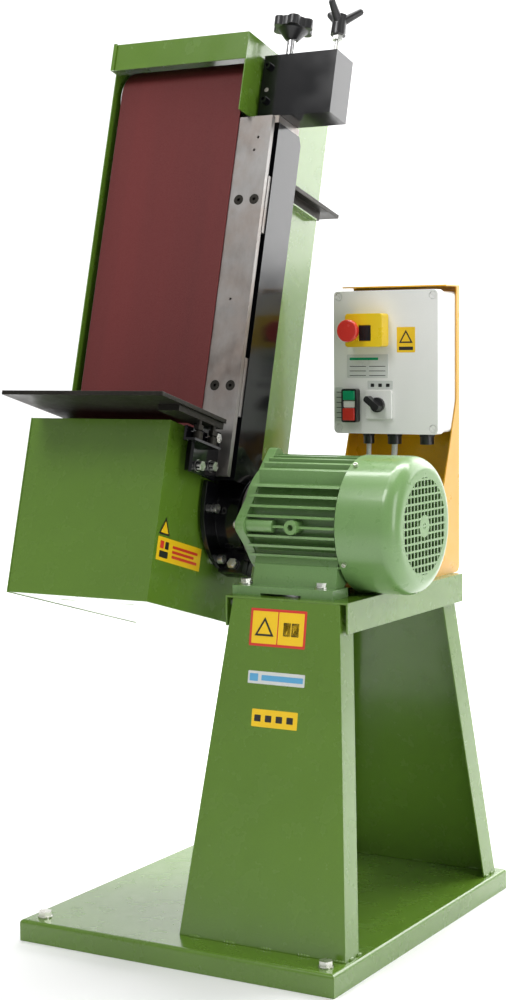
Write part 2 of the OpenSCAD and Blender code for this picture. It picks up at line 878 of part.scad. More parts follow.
// Side plate with the split clamp ring that grips the pivot spigot
module arm_plate() {
    color(black) arm() difference() {
        union() {
            along_x(plate_x0, plate_x1) difference() {
                union() {
                    translate([0, 10]) circle(plate_r);
                    translate([-plate_r, 10]) square([2 * plate_r, 130]);
                }
                translate([0, 140]) rotate(-24) square([200, 200]);
                translate([-plate_r - 1, 44]) square([plate_r - 71, 100]);
            }
            rod_x(plate_x0 + 2, beam_x1 + 2, 0, 0, ring_r);
            rotate([lug_angle, 0, 0]) block([plate_x0 + 3, 50, -lug_t], [beam_x1 + 1, 100, lug_t]);
        }
        rod_x(plate_x0 - 1, beam_x1 + 3, 0, 0, clamp_r);
        rotate([lug_angle, 0, 0]) block([plate_x1 + 1, 40, -1.5], [beam_x1 + 9, 120, 1.5]);
        rotate([lug_angle, 0, 0]) rod_z(-30, 30, lug_x, lug_v, 5.2);
        for (p = plate_fix)
            rod_x(plate_x0 - 1, plate_x1 + 1, p[0], p[1], 5.2);
    }
}

beam_t = 4;

// Inside of the beam, and the sliding tube with its clearance
beam_in_a = [plate_x1 + beam_t, beam_v0 + beam_t];
beam_in_b = [beam_x1 - beam_t, beam_v1 - beam_t];
tube_a = beam_in_a + [0.1, 0.1];
tube_b = beam_in_b - [0.1, 0.1];

// Hollow beam, coped over the clamp ring
module beam() {
    color(black) arm() difference() {
        along_x(plate_x1, beam_x1) polygon([
            [beam_v0, 48], [beam_v1, 48], [beam_v1, beam_w1 - 14],
            [beam_v1 - 8, beam_w1], [beam_v0, beam_w1]
        ]);
        block([plate_x1 + beam_t, beam_v0 + beam_t, 40], [beam_x1 - beam_t, beam_v1 - beam_t, beam_w1 + 1]);
        rod_x(plate_x1 - 1, beam_x1 + 1, 0, 0, ring_r + running);
        for (w = spacer_w)
            rod_y(beam_v0 - 1, beam_v0 + beam_t + 1, -18, w, 4.1);
    }
}

// Clamp bolt, and the screws, spacers and nuts between the side plate and the guard
module arm_bolts() {
    gap = plate_x0 - guard_x1;
    nut_h = 6;
    color(zinc) arm() {
        rotate([lug_angle, 0, 0]) translate([lug_x, lug_v, lug_t]) {
            hex_bolt(5, 9.4, 6.5, 2 * lug_t + 10);
            translate([0, 0, -2 * lug_t - 8]) cylinder(h = 8, r = 9.4, $fn = 6);
        }
        for (p = plate_fix)
            translate([plate_x1, p[0], p[1]]) rotate([0, 90, 0]) {
                socket_screw(5, plate_x1 - guard_x1 + guard_t + nut_h + 1);
                translate([0, 0, guard_x1 - plate_x1 - guard_t - nut_h])
                    cylinder(h = nut_h, r = 8.5, $fn = 6);
                translate([0, 0, guard_x1 - plate_x1]) cylinder(h = gap, r = 9);
            }
    }
}

// Lower guard: right wall, front, floor and rear of the box around the contact wheel,
// with the dust spigot on its rear wall
module guard_box() {
    color(green) arm() difference() {
        union() {
            block([guard_x0, box_v, box_w0], [guard_x1, guard_v, box_w1]);
            rod_y(guard_v - EPS, guard_v + spigot_len, spigot_x, spigot_w, spigot_r);
        }
        block([guard_x0 - 1, box_v + guard_t, box_w0 + guard_t],
              [guard_x1 - guard_t, guard_v - guard_t, box_w1 + 1]);
        rod_x(guard_x1 - 5, guard_x1 + 1, 0, 0, 30);
        for (p = plate_fix)
            rod_x(guard_x1 - 5, guard_x1 + 1, p[0], p[1], 5.2);
        for (x = [-250, -130])
            block([x - 14, box_v + 60, box_w0 - 1], [x + 14, box_v + 66, box_w0 + 3]);
        rod_y(guard_v - 5, guard_v + spigot_len + 1, spigot_x, spigot_w, spigot_r - guard_t);
    }
}

spigot_r = 50;
spigot_len = 45;
spigot_x = -190;
spigot_w = -90;
rest_w = 607;
window_w1 = 745;

// Upper guard: rear wall with a window over the rear rest, right wall and cap
module guard_channel() {
    color(green) arm() difference() {
        union() {
            block([guard_x0, guard_v - guard_t, box_w1], [guard_x1, guard_v, cap_w]);
            along_x(guard_x1 - guard_t, guard_x1) polygon([
                [-60, box_w1], [guard_v, box_w1], [guard_v, cap_w], [cap_v, cap_w],
                [cap_v, 676], [-60, 676]
            ]);
            block([guard_x0, cap_v, cap_w - guard_t], [guard_x1, guard_v, cap_w]);
            block([guard_x0, cap_v, cap_w - cap_lip], [guard_x1, cap_v + guard_t, cap_w]);
            block([guard_x1 - EPS, 52, rest_w - 35], [guard_x1 + 14, 150, rest_w - 32]);
        }
        block([guard_x0 + 12, guard_v - 5, rest_w - 10], [guard_x1 - 12, guard_v + 1, window_w1]);
        block([guard_x1 - 12 - EPS, 40, rest_w - 9], [guard_x1 + 1, guard_v + 1, rest_w + 2]);
        along_x(guard_x1 - 5, guard_x1 + 1) rounded([-66, 700], [-34, 758], 15);
    }
}

// Ground steel plate that backs the belt, wider than the belt on the right
module platen() {
    color([0.62, 0.61, 0.56]) arm() difference() {
        block([-317, platen_v, platen_w0], [-1, platen_v + platen_t, platen_w1]);
        block([guard_x1 - 4, platen_v - 1, platen_w0 - 1],
              [guard_x1 + 1, platen_v + platen_t + 1, box_w1 + 1]);
        for (x = screw_x, w = screw_w)
            union() {
                rod_y(platen_v - 1, platen_v + platen_t + 1, x, w, 5);
                translate([x, platen_v + 5.05, w]) rotate([90, 0, 0]) cylinder(h = 5.1, r1 = 4.95, r2 = 9.1);
            }
        for (p = [[-24, 634], [-29, 612], [-38, 352]])
            rod_y(platen_v - 1, platen_v + 6, p[0], p[1], 2.2);
    }
}

screw_x = [-47, -17];
screw_w = [204, 525];
spacer_w = [204, 519];

module platen_screws() {
    color(dark) arm()
        for (x = screw_x, w = screw_w)
            difference() {
                union() {
                    translate([x, platen_v + 5, w]) rotate([90, 0, 0]) cylinder(h = 5, r1 = 4.8, r2 = 9);
                    rod_y(platen_v + 4, platen_v + platen_t, x, w, 4.8);
                }
                rod_y(platen_v - 1, platen_v + 4, x, w, 3.2, 6);
            }
}

// Distance pieces between the platen and the beam
module platen_spacers() {
    color(steel) arm()
        for (w = spacer_w)
            block([-58, platen_v + platen_t, w - 50], [0, beam_v0, w + 50]);
}

// Outline of the belt loop, shrunk by inset
module belt_outline(inset) {
    hull() {
        circle(wheel_r - inset, $fn = 180);
        translate([idler_v, idler_w]) circle(idler_r - inset, $fn = 180);
    }
}

module belt() {
    color([0.44, 0.18, 0.18]) arm() difference() {
        along_x(belt_x0, belt_x1) belt_outline(0);
        along_x(belt_x0 - 1, belt_x1 + 1) belt_outline(belt_t);
    }
}

// Rest behind the belt, on an angle along the guard's right wall
module rear_rest() {
    x1 = guard_x1 + 16;
    color(dark) arm() {
        block([-312, 46, rest_w - 7], [x1, 226, rest_w]);
        block([guard_x1 + 0.2, 46, rest_w - 27], [guard_x1 + 4, 176, rest_w - 7 + EPS]);
        block([guard_x1 + 0.2, 46, rest_w - 11], [guard_x1 + 20, 176, rest_w - 7 + EPS]);
    }
}

table_v0 = -328;
table_v1 = -130;
table_w = 141;
table_t = 7;
angle_v0 = -218;
angle_v1 = -138;
angle_w = 88;
plate_right = -23;
bracket_bolts = [[-166, 56], [-127, 63], [-127, 110]];
adjuster_v = [-197, -153];

// Block and plate on the platen's front, with the zinc-plated angle that the table sits on
module table_bracket() {
    v1 = platen_v - 0.1;
    color(black) arm() union() {
        block([guard_x1 + 0.5, -160, 50], [plate_right - 6 + EPS, v1, 120]);
        block([plate_right - 6, -183, 43], [plate_right, v1, 123]);
        block([plate_right - EPS, angle_v0, angle_w], [plate_right + 4, angle_v1, angle_w + 24]);
        block([plate_right - EPS, angle_v0, angle_w], [-1, angle_v1, angle_w + 4]);
        for (p = bracket_bolts)
            translate([plate_right - EPS, p[0], p[1]]) rotate([0, 90, 0]) hex_bolt(4, 8, 6, 5, 9);
    }
}

module side_door() {
    color(green) arm() {
        along_x(door_x, guard_x0) polygon([
            [box_v - 1, box_w0 - 1], [guard_v, box_w0 - 1], [guard_v, cap_w + 1],
            [cap_v - 1, cap_w + 1], [cap_v - 1, cap_w - cap_lip], [-117, cap_w - cap_lip],
            [-117, box_w1], [box_v - 1, box_w1]
        ]);
        block([guard_x0 - EPS, cap_v - 3, cap_w - cap_lip], [guard_x0 + 6, cap_v - 0.5, cap_w + 1]);
        for (w = hinge_w) {
            block([door_x - 4.5, guard_v - 24, w - 14], [door_x + EPS, guard_v + 4, w + 14]);
            difference() {
                rod_z(w - 14, w + 14, hinge_x, hinge_v, hinge_r);
                rod_z(w - 15, w + 15, hinge_x, hinge_v, 3.05);
            }
        }
    }
}

hinge_r = 6;
hinge_x = door_x - hinge_r;
hinge_v = guard_v + 8;
hinge_w = [-80, 340, 720];

// Hinge pins with the fixed knuckles on the guard's rear wall
module door_hinges() {
    color(zinc) arm()
        for (w = hinge_w) {
            rod_z(w - 34, w + 34, hinge_x, hinge_v, 3);
            for (s = [-1, 1]) {
                rod_z(w + s * 24.5 - 10, w + s * 24.5 + 10, hinge_x, hinge_v, hinge_r);
                block([hinge_x, hinge_v - 8 + 0.1, w + s * 24.5 - 10],
                      [hinge_x + 34, hinge_v - 5, w + s * 24.5 + 10]);
            }
        }
}

module work_table() {
    color(dark) arm() block([-312, table_v0, table_w - table_t], [-1, table_v1, table_w]);
}

// Bar under the table's right end, with the two adjusting bolts that stand on the angle
module table_angle() {
    foot_w = angle_w + 4;
    color(dark) arm() {
        block([-46, table_v0 + 60, 124], [-6, table_v1, table_w - table_t]);
        for (v = adjuster_v)
            translate([-10, v, foot_w]) {
                cylinder(h = 124 - foot_w + EPS, r = 3.9);
                cylinder(h = 13, r = 8);
                translate([0, 0, 16]) cylinder(h = 8, r = 8, $fn = 6);
            }
    }
}

// ---------- head: belt tension and tracking ----------

// Welded box that rides on the slide tube and holds the idler's axle
module head_box() {
    a = [head_x0, head_v0, head_w0];
    b = [head_x1, head_v1, head_w1];
    t = [head_t, head_t, head_t];
    color(black) arm() difference() {
        union() {
            difference() {
                block(a, b);
                block(a + t, b - t);
            }
            for (w = [711, 772])
                translate([tilt_x, head_v0 + EPS, w]) rotate([90, 0, 0]) socket_screw(4, 1);
        }
        rod_x(head_x0 - 1, head_x0 + head_t + 1, idler_v, idler_w, 15);
        rod_z(head_w0 - 1, head_w1 + 1, tension_x, tension_v, 7.55);
        rod_z(head_w1 - head_t - 1, head_w1 + 1, track_x, idler_v, 4.05);
        rod_y(head_v0 - 1, head_v1 + 1, tilt_x, idler_w, 4.05);
    }
}

// Square tube that slides in the beam
module slide_tube() {
    color(steel) arm() difference() {
        block([tube_a[0], tube_a[1], 540], [tube_b[0], tube_b[1], head_w0]);
        block([tube_a[0] + 4, tube_a[1] + 4, 539], [tube_b[0] - 4, tube_b[1] - 4, head_w0 + 1]);
    }
}

// Threaded block welded inside the beam, which the tension rod screws into
module tension_nut() {
    color(steel) arm() difference() {
        block([beam_in_a[0], beam_in_a[1], 490], [beam_in_b[0], beam_in_b[1], 515]);
        rod_z(489, 516, tension_x, tension_v, 7.55);
    }
}

// Six-lobed hand wheel on a conical hub
module star_knob() {
    w0 = head_w1 + knob_rise;
    color(black) arm() translate([tension_x, tension_v, w0]) union() {
        cylinder(h = 18, r1 = 11, r2 = 26);
        translate([0, 0, 18]) linear_extrude(17) union() {
            circle(30);
            for (a = [0 : 60 : 300])
                rotate(a) translate([26.5, 0]) circle(10.5);
        }
        translate([0, 0, 35 - EPS]) cylinder(h = 3, r1 = 14, r2 = 10);
    }
}

// Tension spindle: bright rod through the head, held by two collars
module tension_rod() {
    color([0.8, 0.8, 0.8]) arm() {
        rod_z(478, head_w1 + knob_rise, tension_x, tension_v, 7.5);
        rod_z(head_w1 + 0.1, head_w1 + 8, tension_x, tension_v, 11);
        rod_z(head_w1 - head_t - 12, head_w1 - head_t - 0.1, tension_x, tension_v, 10);
    }
}

// Three-armed grip on its hexagon nut
module tracking_knob() {
    w0 = head_w1 + knob_rise;
    color(black) arm() translate([track_x, idler_v, w0]) difference() {
        union() {
            cylinder(h = 36, r1 = 13, r2 = 12);
            for (a = [30 : 120 : 270])
                rotate(a) hull() {
                    translate([6, 0, 26]) sphere(r = 8, $fn = 20);
                    translate([33, 0, 46]) sphere(r = 6, $fn = 20);
                }
        }
        translate([0, 0, -1]) cylinder(h = 15, r = 4.02);
    }
}

// Tracking stud: hexagon nut above the head, collar below its top wall
module tracking_stud() {
    stud_w0 = idler_w - 18;
    color(zinc) arm() translate([track_x, idler_v, 0]) {
        translate([0, 0, stud_w0]) cylinder(h = head_w1 + 50 - stud_w0, r = 4);
        translate([0, 0, head_w1 + 0.1]) cylinder(h = 5, r = 9);
        translate([0, 0, head_w1 + 29]) cylinder(h = 8.9, r = 9.2, $fn = 6);
        translate([0, 0, head_w1 - head_t - 8]) cylinder(h = 7.9, r = 8);
    }
}

// Idler axle: a bar inside the head, and the round stub that carries the roller
module idler_axle() {
    color(steel) arm() difference() {
        union() {
            rod_x(-314, head_x0 + 8, idler_v, idler_w, 12);
            block([head_x0 + 8 - EPS, idler_v - 13, idler_w - 12], [86, idler_v + 13, idler_w + 12]);
            rod_y(head_v0 + 0.5, head_v1 - 0.5, tilt_x, idler_w, 4);
        }
        rod_z(idler_w - 20, idler_w + 20, tension_x, tension_v, 10.5);
        rod_z(idler_w - 20, idler_w + 20, track_x, idler_v, 6);
    }
}

idler_x0 = belt_x0 - 4;
idler_x1 = belt_x1 + 4;

// Idler roller with recessed ends
module idler_roller() {
    r = idler_r - belt_t - running;
    color([0.80, 0.80, 0.79]) arm() difference() {
        rod_x(idler_x0, idler_x1, idler_v, idler_w, r);
        rod_x(idler_x0 - 1, idler_x1 + 1, idler_v, idler_w, 26);
        rod_x(idler_x0 - 1, idler_x0 + 7, idler_v, idler_w, r - 9);
        rod_x(idler_x1 - 7, idler_x1 + 1, idler_v, idler_w, r - 9);
    }
}

module idler_bearings() {
    color(zinc) arm()
        for (x = [idler_x0 + 8, idler_x1 - 24])
            tube_x(x, x + 16, idler_v, idler_w, 25.99, 12 + running);
}

base_pan();
floor_bolts();
pedestal_panels();
pedestal_top();
control_bracket();
enclosure_base();
enclosure_lid();
lid_screws();
estop_housing();
estop_button();
button_frame();
start_button();
stop_button();
selector_switch();
selector_knob();
contactor();
cable_glands();
motor_lead_a();
motor_lead_b();
terminal_box();
terminal_lid();
motor_frame();
stator();
end_shield_drive();
end_shield_fan();
fan_cowl();
motor_bolts();
motor_bearings();
pivot_spigot();
motor_shaft();
rotor();
fan();
wheel_core();
wheel_tyre();
wheel_bolt();
arm_plate();
beam();
arm_bolts();
guard_box();
guard_channel();
platen();
platen_screws();
platen_spacers();
belt();
rear_rest();
table_bracket();
side_door();
door_hinges();
work_table();
table_angle();
head_box();
slide_tube();
tension_nut();
star_knob();
tension_rod();
tracking_knob();
tracking_stud();
idler_axle();
idler_roller();
idler_bearings();
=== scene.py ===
"""Looks for the pedestal belt grinder: bevelled pieces, procedural materials, labels, welds,
soft studio light and the camera. Lengths are in metres; MM turns millimetres into metres."""

import json
import math

import bmesh
import bpy
from mathutils import Matrix, Vector


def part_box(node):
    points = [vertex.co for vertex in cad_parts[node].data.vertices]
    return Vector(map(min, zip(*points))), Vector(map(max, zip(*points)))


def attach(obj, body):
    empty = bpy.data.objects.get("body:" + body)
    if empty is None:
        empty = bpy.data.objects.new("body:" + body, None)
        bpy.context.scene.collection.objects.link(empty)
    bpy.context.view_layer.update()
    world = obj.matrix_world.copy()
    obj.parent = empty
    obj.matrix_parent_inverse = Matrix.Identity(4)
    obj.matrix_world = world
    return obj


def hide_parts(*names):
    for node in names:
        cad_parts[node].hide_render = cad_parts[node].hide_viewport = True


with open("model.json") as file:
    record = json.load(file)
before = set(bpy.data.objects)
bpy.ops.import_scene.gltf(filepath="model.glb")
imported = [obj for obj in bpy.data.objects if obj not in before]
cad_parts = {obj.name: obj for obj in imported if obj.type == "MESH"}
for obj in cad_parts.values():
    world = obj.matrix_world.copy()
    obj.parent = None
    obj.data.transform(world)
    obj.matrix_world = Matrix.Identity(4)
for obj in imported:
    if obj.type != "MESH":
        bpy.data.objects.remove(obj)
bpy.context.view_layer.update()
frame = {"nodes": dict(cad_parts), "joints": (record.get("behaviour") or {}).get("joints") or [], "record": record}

MM = 0.001
JOINTS = {j["name"]: j for j in frame["joints"]}
BODY_OF = {n: b for b, nodes in frame["record"]["behaviour"]["bodies"].items() for n in nodes}
SLOT_OF = {p["node"]: p["material_slot"] for p in frame["record"]["subparts"]}


# ---------- places, worked out from the frame ----------

def middle(node):
    low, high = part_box(node)
    return (low + high) / 2


BASE = middle("base_pan")
AXIS = Vector(JOINTS["arm_swing"]["pos_m"])
TILT = math.atan2(-JOINTS["table_slide"]["axis"][2], JOINTS["table_slide"]["axis"][1])
ARM = Matrix.Translation((BASE.x, AXIS.y, AXIS.z)) @ Matrix.Rotation(-TILT, 4, "X")


def at(x, y, z):
    """A place in millimetres from the middle of the floor plate, as a place in the row frame."""
    return Vector((BASE.x + x * MM, y * MM, z * MM))


def on_arm(x, v, w):
    """A place in millimetres in the arm's own frame, as a place in the row frame."""
    return ARM @ Vector((x * MM, v * MM, w * MM))


# ---------- materials ----------

# The Mix node has one socket set per data type; these are its colour sockets
MIX_COLOR_A, MIX_COLOR_B, MIX_COLOR_OUT = 6, 7, 2


class Paint:
    """A small builder for one procedural material."""

    def __init__(self, name, color, rough, metal=0.0, coat=0.0):
        self.mat = bpy.data.materials.new(name)
        self.mat.use_nodes = True
        self.tree = self.mat.node_tree
        self.shader = self.tree.nodes["Principled BSDF"]
        self.mat.diffuse_color = (*color, 1)
        self.coords = self.add("ShaderNodeTexCoord").outputs["Object"]
        self.set("Base Color", (*color, 1))
        self.set("Roughness", rough)
        self.set("Metallic", metal)
        self.set("Coat Weight", coat)
        self.set("Coat Roughness", 0.12)

    def add(self, kind, **values):
        node = self.tree.nodes.new(kind)
        for key, value in values.items():
            setattr(node, key, value)
        return node

    def set(self, name, value):
        self.shader.inputs[name].default_value = value

    def link(self, a, b):
        self.tree.links.new(a, b)

    def stretched(self, scale):
        """Object coordinates scaled along each axis, for grain with a direction."""
        mapping = self.add("ShaderNodeMapping")
        mapping.inputs["Scale"].default_value = scale
        self.link(self.coords, mapping.inputs["Vector"])
        return mapping.outputs["Vector"]

    def noise(self, scale, detail=4.0, rough=0.55, vector=None):
        node = self.add("ShaderNodeTexNoise")
        node.inputs["Scale"].default_value = scale
        node.inputs["Detail"].default_value = detail
        node.inputs["Roughness"].default_value = rough
        self.link(vector or self.coords, node.inputs["Vector"])
        return node.outputs["Fac"]

    def ramp(self, factor, low, high, start=0.35, end=0.65):
        node = self.add("ShaderNodeValToRGB")
        node.color_ramp.elements[0].position = start
        node.color_ramp.elements[1].position = end
        node.color_ramp.elements[0].color = (*low, 1)
        node.color_ramp.elements[1].color = (*high, 1)
        self.link(factor, node.inputs["Fac"])
        return node.outputs["Color"]

    def span(self, factor, low, high):
        """Stretches the middle of a noise's range onto low to high."""
        node = self.add("ShaderNodeMapRange")
        node.inputs["To Min"].default_value = low
        node.inputs["To Max"].default_value = high
        node.inputs["From Min"].default_value = 0.3
        node.inputs["From Max"].default_value = 0.7
        self.link(factor, node.inputs["Value"])
        return node.outputs["Result"]

    def mix(self, factor, a, b):
        """Blends two colours by a number or by another node's output."""
        node = self.add("ShaderNodeMix", data_type="RGBA")
        if isinstance(factor, float):
            node.inputs["Factor"].default_value = factor
        else:
            self.link(factor, node.inputs["Factor"])
        self.link(a, node.inputs[MIX_COLOR_A])
        self.link(b, node.inputs[MIX_COLOR_B])
        return node.outputs[MIX_COLOR_OUT]

    def color(self, output):
        self.link(output, self.shader.inputs["Base Color"])

    def roughness(self, factor, low, high):
        self.link(self.span(factor, low, high), self.shader.inputs["Roughness"])

    def bump(self, *layers):
        """Stacks bump layers, each (height, depth in mm)."""
        normal = None
        for height, depth in layers:
            node = self.add("ShaderNodeBump")
            node.inputs["Distance"].default_value = depth * MM
            node.inputs["Strength"].default_value = 1.0
            self.link(height, node.inputs["Height"])
            if normal:
                self.link(normal, node.inputs["Normal"])
            normal = node.outputs["Normal"]
        self.link(normal, self.shader.inputs["Normal"])
        return self.mat


def shade(color, k):
    return tuple(min(1.0, c * k) for c in color)


def enamel(name, color, rough, peel, coat=0.5, cast=0.0):
    """Sprayed paint: orange peel, slow colour drift, dust specks; cast adds the casting's grain."""
    p = Paint(name, color, rough, coat=coat)
    drift = p.noise(3.0, 3.0)
    fine = p.noise(420.0, 2.0)
    p.color(p.mix(0.35, p.ramp(drift, shade(color, 0.90), shade(color, 1.08)),
                  p.ramp(fine, shade(color, 0.86), shade(color, 1.12))))
    p.roughness(p.noise(26.0, 5.0), rough * 0.8, rough * 1.3)
    layers = [(fine, peel)]
    if cast:
        layers.append((p.noise(900.0, 4.0), cast))
    return p.bump(*layers)


def scratched(name, color, rough, direction, rust=0.0, depth=0.03):
    """Worked steel: fine scratches along a direction, smudges, and an optional rust bloom."""
    p = Paint(name, color, rough, metal=1.0)
    lines = p.noise(60.0, 8.0, 0.7, p.stretched(direction))
    smudge = p.noise(9.0, 5.0)
    tone = p.mix(0.5, p.ramp(lines, shade(color, 0.72), shade(color, 1.22), 0.3, 0.7),
                 p.ramp(smudge, shade(color, 0.80), shade(color, 1.15)))
    if rust:
        bloom = p.ramp(p.noise(5.0, 6.0, 0.65), (0, 0, 0), (rust, rust, rust), 0.45, 0.7)
        brown = p.add("ShaderNodeRGB")
        brown.outputs[0].default_value = (0.22, 0.13, 0.08, 1)
        tone = p.mix(bloom, tone, brown.outputs[0])
    p.color(tone)
    p.roughness(p.mix(0.5, lines, smudge), rough * 0.7, rough * 1.45)
    return p.bump((lines, depth))


def plated(name, color, rough):
    """Zinc or chrome plate: cloudy tone with a faint warm and cool drift."""
    p = Paint(name, color, rough, metal=1.0)
    cloud = p.noise(90.0, 5.0)
    warm = (color[0] * 1.04, color[1] * 0.98, color[2] * 0.86)
    p.color(p.mix(0.4, p.ramp(cloud, shade(color, 0.82), shade(color, 1.1)),
                  p.ramp(p.noise(22.0), color, warm)))
    p.roughness(cloud, rough * 0.75, rough * 1.4)
    return p.bump((p.noise(600.0, 3.0), 0.02))


def moulded(name, color, rough, grain=0.02, coat=0.0):
    """Moulded plastic: sparked texture and faint handling marks."""
    p = Paint(name, color, rough, coat=coat)
    grit = p.noise(1500.0, 2.0)
    p.color(p.mix(0.3, p.ramp(grit, shade(color, 0.93), shade(color, 1.05)),
                  p.ramp(p.noise(14.0, 4.0), shade(color, 0.93), shade(color, 1.04))))
    p.roughness(p.noise(40.0, 4.0), rough * 0.85, rough * 1.2)
    return p.bump((grit, grain))


def abrasive():
    """Cloth-backed grit: sharp grains over a long slow streak along the belt."""
    base = (0.125, 0.013, 0.012)
    p = Paint("abrasive_belt", base, 0.72)
    grains = p.add("ShaderNodeTexVoronoi")
    grains.inputs["Scale"].default_value = 1500.0
    p.link(p.coords, grains.inputs["Vector"])
    streak = p.noise(11.0, 3.0, 0.5, p.stretched((1.0, 0.06, 0.06)))
    p.color(p.mix(0.5, p.ramp(grains.outputs["Distance"], shade(base, 1.5), shade(base, 0.62), 0.0, 0.7),
                  p.ramp(streak, shade(base, 0.84), shade(base, 1.28))))
    p.roughness(grains.outputs["Distance"], 0.55, 0.85)
    return p.bump((grains.outputs["Distance"], 0.12), (p.noise(700.0), 0.05))


def rolled_plate():
    """Oiled hot-rolled plate: mill scale in grey-brown clouds with rubbed lighter patches."""
    base = (0.022, 0.020, 0.016)
    p = Paint("rolled_plate", base, 0.45, metal=0.75)
    scale = p.noise(16.0, 8.0, 0.68)
    p.color(p.mix(0.45, p.ramp(scale, shade(base, 0.55), shade(base, 2.1), 0.32, 0.72),
                  p.ramp(p.noise(130.0, 5.0), shade(base, 0.75), shade(base, 1.4))))
    p.roughness(scale, 0.34, 0.62)
    return p.bump((scale, 0.10), (p.noise(240.0, 5.0), 0.05))


def rubber(name, color):
    p = Paint(name, color, 0.62)
    fine = p.noise(700.0, 3.0)
    p.color(p.ramp(fine, shade(color, 0.85), shade(color, 1.15)))
    p.roughness(p.noise(50.0), 0.5, 0.75)
    return p.bump((fine, 0.03))


def laminations():
    p = Paint("laminations", (0.25, 0.14, 0.08), 0.5, metal=0.4)
    layers = p.noise(160.0, 2.0, 0.4, p.stretched((6.0, 0.3, 0.3)))
    p.color(p.ramp(layers, (0.12, 0.08, 0.06), (0.34, 0.18, 0.09)))
    return p.bump((layers, 0.1))


def turned_alloy():
    """Turned aluminium: tool marks as fine rings about the roller's axis."""
    color = (0.74, 0.75, 0.76)
    p = Paint("turned_alloy", color, 0.28, metal=1.0)
    marks = p.noise(90.0, 6.0, 0.6, p.stretched((9.0, 0.4, 0.4)))
    p.color(p.ramp(marks, shade(color, 0.84), shade(color, 1.08)))
    p.roughness(marks, 0.2, 0.42)
    return p.bump((marks, 0.02))


GREEN = (0.100, 0.200, 0.018)
MOTOR_GREEN = (0.155, 0.290, 0.095)

MATERIALS = {
    "green_paint": enamel("green_paint", GREEN, 0.24, 0.012, coat=0.5),
    "motor_paint": enamel("motor_paint", MOTOR_GREEN, 0.30, 0.02, coat=0.5, cast=0.02),
    "amber_paint": enamel("amber_paint", (0.68, 0.34, 0.0), 0.32, 0.015),
    "black_paint": enamel("black_paint", (0.003, 0.003, 0.004), 0.13, 0.008, coat=0.0),
    "zinc": plated("zinc_plate", (0.70, 0.71, 0.68), 0.30),
    "ground_steel": scratched("ground_steel", (0.30, 0.29, 0.28), 0.42, (1.0, 1.0, 0.35), rust=0.5),
    "dark_steel": rolled_plate(),
    "bright_steel": scratched("bright_steel", (0.80, 0.80, 0.80), 0.16, (0.3, 0.3, 2.0), depth=0.01),
    "alloy": turned_alloy(),
    "abrasive": abrasive(),
    "tyre_rubber": rubber("tyre_rubber", (0.03, 0.03, 0.03)),
    "grey_plastic": moulded("grey_plastic", (0.82, 0.82, 0.80), 0.42),
    "black_plastic": moulded("black_plastic", (0.012, 0.012, 0.013), 0.36, 0.015, coat=0.2),
    "yellow_plastic": moulded("yellow_plastic", (0.86, 0.60, 0.01), 0.30, coat=0.3),
    "red_plastic": moulded("red_plastic", (0.62, 0.035, 0.025), 0.28, coat=0.4),
    "green_plastic": moulded("green_plastic", (0.005, 0.30, 0.13), 0.30, coat=0.3),
    "cable_sheath": rubber("cable_sheath", (0.55, 0.56, 0.55)),
    "copper_iron": laminations(),
    "label_yellow": moulded("label_yellow", (0.86, 0.55, 0.01), 0.35, 0.004, coat=0.4),
    "label_red": moulded("label_red", (0.62, 0.03, 0.02), 0.35, 0.004, coat=0.4),
    "label_blue": moulded("label_blue", (0.10, 0.36, 0.60), 0.35, 0.004, coat=0.4),
    "label_silver": moulded("label_silver", (0.62, 0.64, 0.62), 0.30, 0.004, coat=0.4),
    "label_black": moulded("label_black", (0.015, 0.015, 0.015), 0.35, 0.004, coat=0.3),
    "lens_white": moulded("lens_white", (0.80, 0.80, 0.76), 0.20, 0.004, coat=0.5),
}

for node, piece in frame["nodes"].items():
    piece.data.materials.clear()
    piece.data.materials.append(MATERIALS[SLOT_OF[node]])


# ---------- bevelled copies of the CAD pieces ----------

# Edges sharper than this are rounded; faces closer than 50 degrees share their shading
SHARP_ANGLE = math.radians(32)
SHADE_COSINE = math.cos(math.radians(50))


def area_weighted_normals(bm):
    """One normal per face corner: large flat faces stay flat, and their rounded edges blend into them."""
    bm.normal_update()
    weighted = {face: face.normal * face.calc_area() for face in bm.faces}
    normals = []
    for face in bm.faces:
        for loop in face.loops:
            total = Vector()
            for other in loop.vert.link_faces:
                if face.normal.dot(other.normal) > SHADE_COSINE:
                    total += weighted[other]
            normals.append(total.normalized() if total.length > 0 else face.normal.copy())
    return normals


def finish_mesh(bm, name, material, body):
    """Turns a bmesh in the row frame into a piece that rides on a body."""
    mesh = bpy.data.meshes.new(name)
    normals = area_weighted_normals(bm)
    bm.to_mesh(mesh)
    bm.free()
    mesh.materials.append(MATERIALS[material])
    piece = bpy.data.objects.new(name, mesh)
    bpy.context.scene.collection.objects.link(piece)
    mesh.polygons.foreach_set("use_smooth", [True] * len(mesh.polygons))
    mesh.normals_split_custom_set(normals)
    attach(piece, body)
    return piece


def clean_copy(node):
    """The node's mesh with its split corners merged and its flat faces joined up."""
    bm = bmesh.new()
    bm.from_mesh(frame["nodes"][node].data)
    bmesh.ops.remove_doubles(bm, verts=bm.verts, dist=0.02 * MM)
    bmesh.ops.dissolve_limit(bm, angle_limit=math.radians(0.6), verts=bm.verts, edges=bm.edges)
    return bm


def refine(node, width, segments=2):
    """Replaces a CAD node with a copy whose sharp edges are rounded by width, in millimetres."""
    bm = clean_copy(node)
    sharp = [e for e in bm.edges if len(e.link_faces) == 2 and e.calc_face_angle(0) > SHARP_ANGLE]
    bmesh.ops.bevel(bm, geom=sharp, offset=width * MM, offset_type="OFFSET", segments=segments,
                    profile=0.5, affect="EDGES", clamp_overlap=True)
    piece = finish_mesh(bm, node + "_piece", SLOT_OF[node], BODY_OF[node])
    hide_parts(node)


